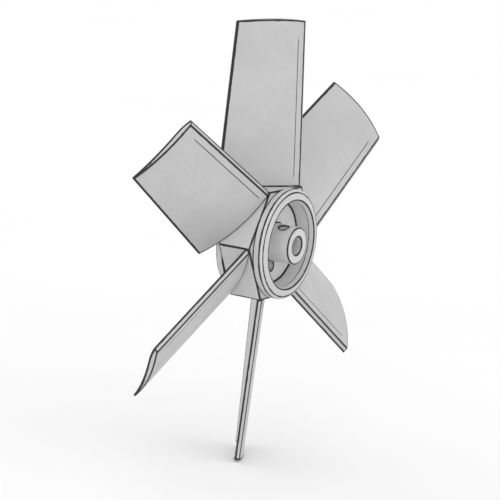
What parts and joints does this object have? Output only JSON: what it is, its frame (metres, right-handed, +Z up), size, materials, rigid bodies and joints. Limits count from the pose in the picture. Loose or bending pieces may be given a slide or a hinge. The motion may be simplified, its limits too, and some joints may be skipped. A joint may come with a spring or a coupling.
{
  "type": "axial fan wheel",
  "caption": "Axial fan wheel: pitched, cambered blades on the flats of a hexagonal hub with round rims, a recessed web and a plain-bored shaft boss.",
  "frame": {"origin": "on the fan's axis, in the plane of the hub's back face, where a shaft's shoulder seats", "axes": "Y is the fan's axis and the front looks along -Y; +Z runs up the middle of blade_1; +X is to the right seen from the front"},
  "size_m": [0.3756, 0.0654, 0.4],
  "materials": {
    "casting": "matt light neutral grey paint on a casting, worn dark along the edges",
    "blade_casting": "matt light neutral grey paint on a casting, worn dark along its edges",
    "screw_steel": "plain, unpainted"
  },
  "bodies": {
    "root": {"hub_body": "casting", "front_rim": "casting", "back_rim": "casting", "hub_web": "casting", "shaft_boss": "casting", "set_screw": "screw_steel", "blade_1": "blade_casting", "blade_2": "blade_casting", "blade_3": "blade_casting", "blade_4": "blade_casting", "blade_5": "blade_casting", "blade_6": "blade_casting"}
  },
  "joints": []
}
